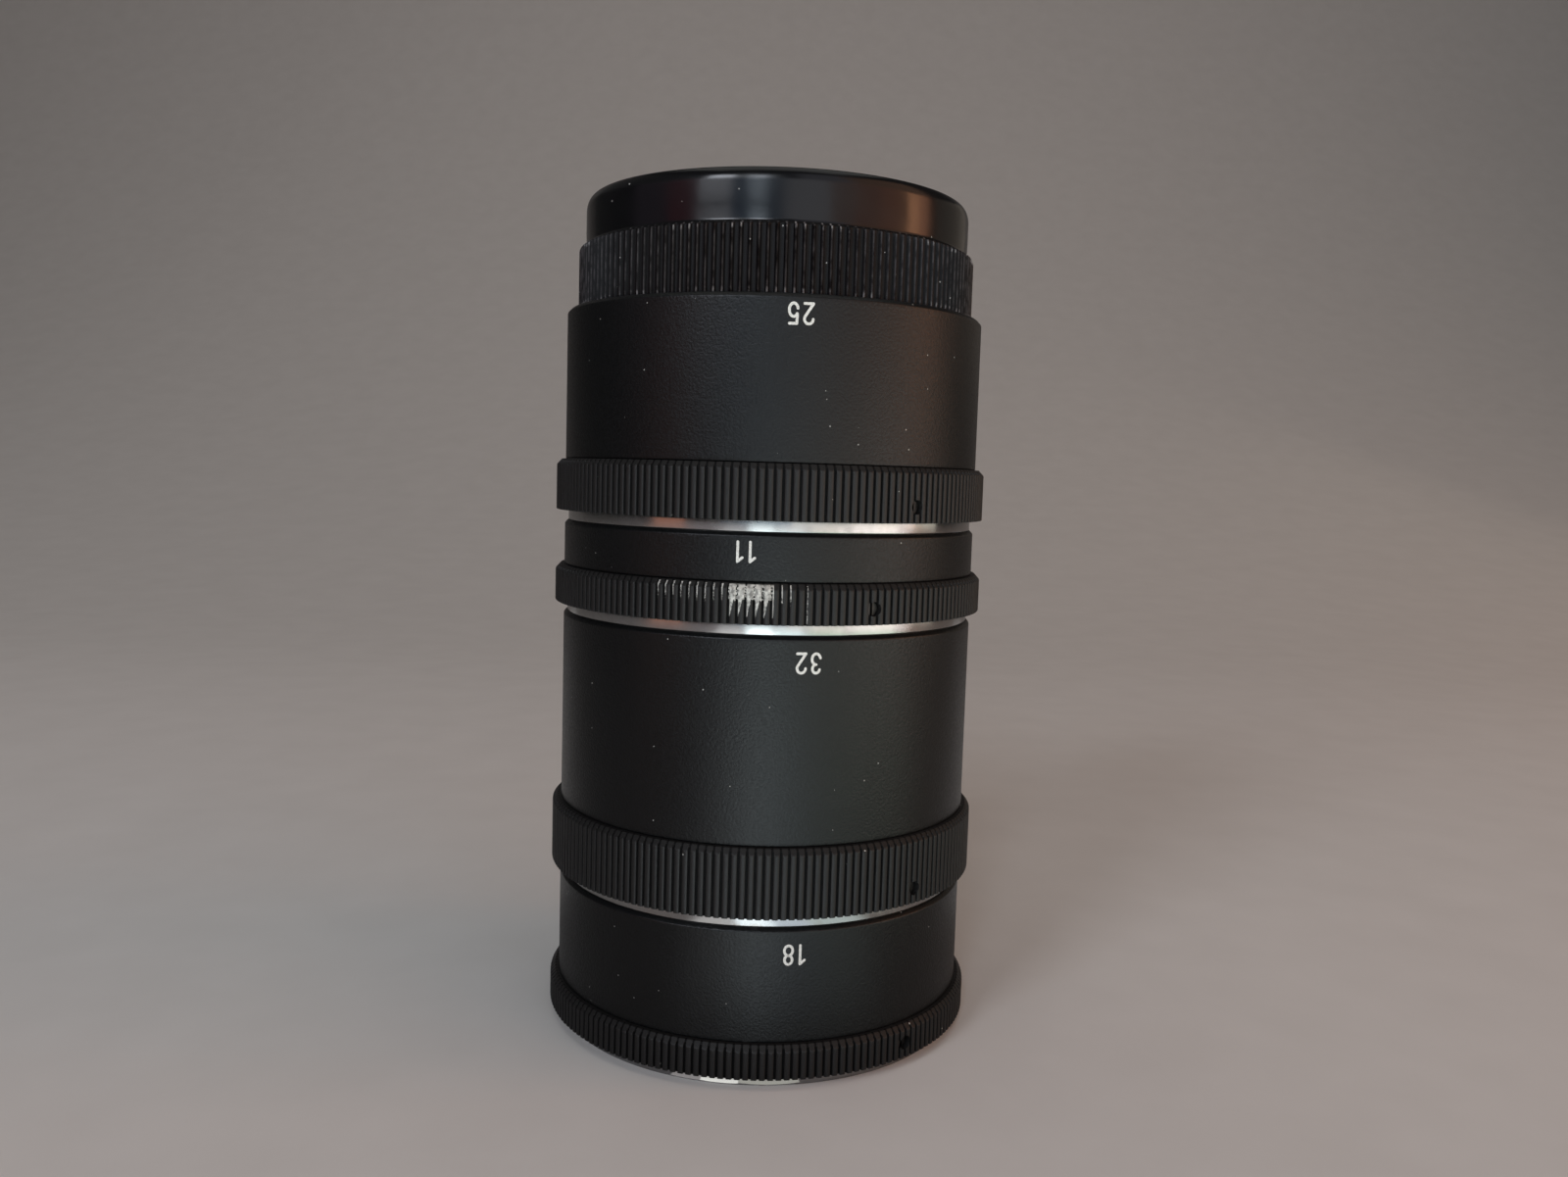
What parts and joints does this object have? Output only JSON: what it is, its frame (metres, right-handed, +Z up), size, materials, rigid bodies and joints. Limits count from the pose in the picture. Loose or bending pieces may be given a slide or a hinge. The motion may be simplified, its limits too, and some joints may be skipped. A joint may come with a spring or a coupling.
{
  "type": "extension tube set",
  "caption": "Stack of ribbed black extension tubes with chromed screw-mount rings and a screw-on rear cap, which space a lens away from a camera body.",
  "frame": {"origin": "centre of the front face of the lowest tube, on which the stack stands", "axes": "+Z up along the optical axis, from the front mount to the rear cap; -Y is the numbered side"},
  "size_m": [0.0526, 0.0526, 0.0993],
  "materials": {
    "barrel_black": "matte black anodised",
    "grip_black": "satin black anodised, ribbed",
    "ring_chrome": "turned and chromed",
    "screw_black": "blackened steel",
    "cap_plastic": "polished black moulding"
  },
  "bodies": {
    "tube_18": {"barrel_18": "barrel_black", "grip_ring_18": "grip_black", "grub_screw_18_a": "screw_black", "grub_screw_18_b": "screw_black", "grub_screw_18_c": "screw_black", "mount_ring_18": "ring_chrome"},
    "ring_32": {"mount_ring_32": "ring_chrome"},
    "tube_32": {"barrel_32": "barrel_black", "grip_ring_32": "grip_black", "grub_screw_32_a": "screw_black", "grub_screw_32_b": "screw_black", "grub_screw_32_c": "screw_black"},
    "ring_11": {"mount_ring_11": "ring_chrome"},
    "tube_11": {"barrel_11": "barrel_black", "grip_ring_11": "grip_black", "grub_screw_11_a": "screw_black", "grub_screw_11_b": "screw_black", "grub_screw_11_c": "screw_black"},
    "ring_25": {"mount_ring_25": "ring_chrome"},
    "tube_25": {"barrel_25": "barrel_black", "grip_ring_25": "grip_black", "grub_screw_25_a": "screw_black", "grub_screw_25_b": "screw_black", "grub_screw_25_c": "screw_black"},
    "cap": {"rear_cap": "cap_plastic"}
  },
  "joints": [
    {"name": "lift_32", "type": "slide", "parent": "tube_18", "child": "ring_32", "axis": [0, 0, 1], "range_m": [0, 0.005]},
    {"name": "turn_32", "type": "hinge", "parent": "ring_32", "child": "tube_32", "pos_m": [0, 0, 0.018], "axis": [0, 0, 1], "range_deg": [0, 1800]},
    {"name": "lift_11", "type": "slide", "parent": "tube_32", "child": "ring_11", "axis": [0, 0, 1], "range_m": [0, 0.005]},
    {"name": "turn_11", "type": "hinge", "parent": "ring_11", "child": "tube_11", "pos_m": [0, 0, 0.05], "axis": [0, 0, 1], "range_deg": [0, 1800]},
    {"name": "lift_25", "type": "slide", "parent": "tube_11", "child": "ring_25", "axis": [0, 0, 1], "range_m": [0, 0.005]},
    {"name": "turn_25", "type": "hinge", "parent": "ring_25", "child": "tube_25", "pos_m": [0, 0, 0.061], "axis": [0, 0, 1], "range_deg": [0, 1800]},
    {"name": "cap_lift", "type": "slide", "parent": "tube_25", "child": "cap", "axis": [0, 0, 1], "range_m": [0, 0.012]}
  ],
  "couplings": [
    {"joint": "lift_32", "follows": "turn_32", "m_per_rad": 0.00015915},
    {"joint": "lift_11", "follows": "turn_11", "m_per_rad": 0.00015915},
    {"joint": "lift_25", "follows": "turn_25", "m_per_rad": 0.00015915}
  ]
}
